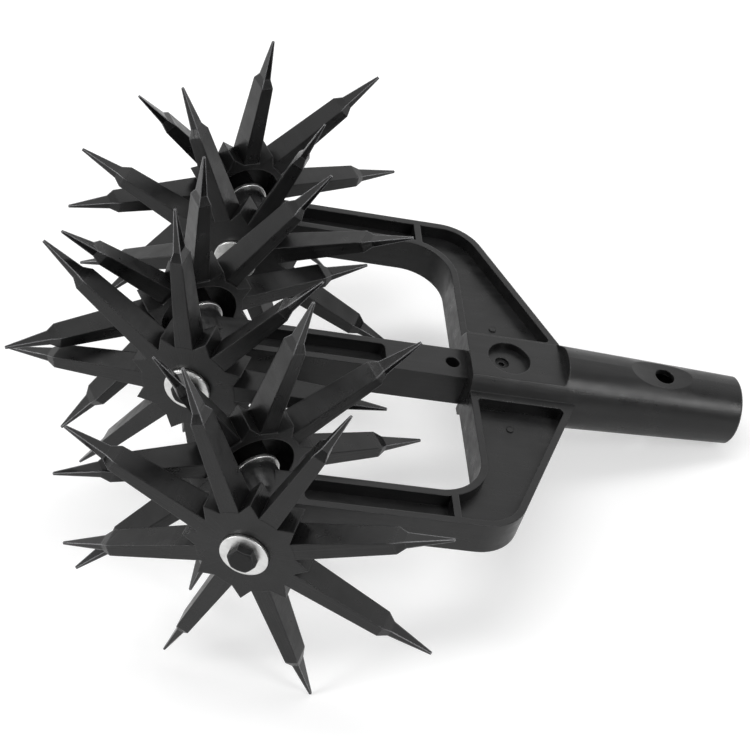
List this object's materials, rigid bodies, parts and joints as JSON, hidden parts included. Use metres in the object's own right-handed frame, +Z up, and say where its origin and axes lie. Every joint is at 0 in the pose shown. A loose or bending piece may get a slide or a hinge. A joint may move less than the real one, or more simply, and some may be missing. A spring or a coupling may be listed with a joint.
{
  "type": "rotary cultivator head",
  "caption": "Forked garden cultivator head with three pairs of leaning star wheels and a pole socket with a cross hole.",
  "frame": {"origin": "on the floor under the middle of the head as it lies at rest", "axes": "+X from the star wheels towards the pole socket, +Z up; the head rests on its wheels and the socket's mouth, tilted mouth down by 17.91 degrees"},
  "size_m": [0.3042, 0.2658, 0.1637],
  "materials": {
    "black_nylon": "moulded, satin",
    "star_nylon": "moulded, satin",
    "black_steel": "black oxide",
    "zinc": "bright zinc"
  },
  "bodies": {
    "head": {"yoke": "black_nylon", "centre_arm": "black_nylon", "block_screw": "black_steel", "left_outer_axle_screw": "black_steel", "left_outer_inner_washer": "zinc", "left_outer_outer_washer": "zinc", "left_inner_axle_screw": "black_steel", "left_inner_inner_washer": "zinc", "left_inner_outer_washer": "zinc", "centre_left_axle_screw": "black_steel", "centre_left_inner_washer": "zinc", "centre_left_outer_washer": "zinc", "centre_right_axle_screw": "black_steel", "centre_right_inner_washer": "zinc", "centre_right_outer_washer": "zinc", "right_inner_axle_screw": "black_steel", "right_inner_inner_washer": "zinc", "right_inner_outer_washer": "zinc", "right_outer_axle_screw": "black_steel", "right_outer_inner_washer": "zinc", "right_outer_outer_washer": "zinc"},
    "left_outer_wheel": {"left_outer_star": "star_nylon"},
    "left_inner_wheel": {"left_inner_star": "star_nylon"},
    "centre_left_wheel": {"centre_left_star": "star_nylon"},
    "centre_right_wheel": {"centre_right_star": "star_nylon"},
    "right_inner_wheel": {"right_inner_star": "star_nylon"},
    "right_outer_wheel": {"right_outer_star": "star_nylon"}
  },
  "joints": [
    {"name": "left_outer_roll", "type": "hinge", "parent": "head", "child": "left_outer_wheel", "pos_m": [-0.05682, -0.10468, 0.0777], "axis": [0.341, 0.9336, -0.1102], "continuous": true},
    {"name": "left_inner_roll", "type": "hinge", "parent": "head", "child": "left_inner_wheel", "pos_m": [-0.05682, -0.06136, 0.0777], "axis": [-0.341, 0.9336, 0.1102], "continuous": true},
    {"name": "centre_left_roll", "type": "hinge", "parent": "head", "child": "centre_left_wheel", "pos_m": [-0.07681, -0.02208, 0.08416], "axis": [0.341, 0.9336, -0.1102], "continuous": true},
    {"name": "centre_right_roll", "type": "hinge", "parent": "head", "child": "centre_right_wheel", "pos_m": [-0.07681, 0.02124, 0.08416], "axis": [-0.341, 0.9336, 0.1102], "continuous": true},
    {"name": "right_inner_roll", "type": "hinge", "parent": "head", "child": "right_inner_wheel", "pos_m": [-0.05682, 0.06052, 0.0777], "axis": [0.341, 0.9336, -0.1102], "continuous": true},
    {"name": "right_outer_roll", "type": "hinge", "parent": "head", "child": "right_outer_wheel", "pos_m": [-0.05682, 0.10384, 0.0777], "axis": [-0.341, 0.9336, 0.1102], "continuous": true}
  ],
  "couplings": [
    {"joint": "left_outer_roll", "follows": "centre_left_roll", "ratio": 1},
    {"joint": "left_inner_roll", "follows": "centre_left_roll", "ratio": 1},
    {"joint": "centre_right_roll", "follows": "centre_left_roll", "ratio": 1},
    {"joint": "right_inner_roll", "follows": "centre_left_roll", "ratio": 1},
    {"joint": "right_outer_roll", "follows": "centre_left_roll", "ratio": 1}
  ]
}
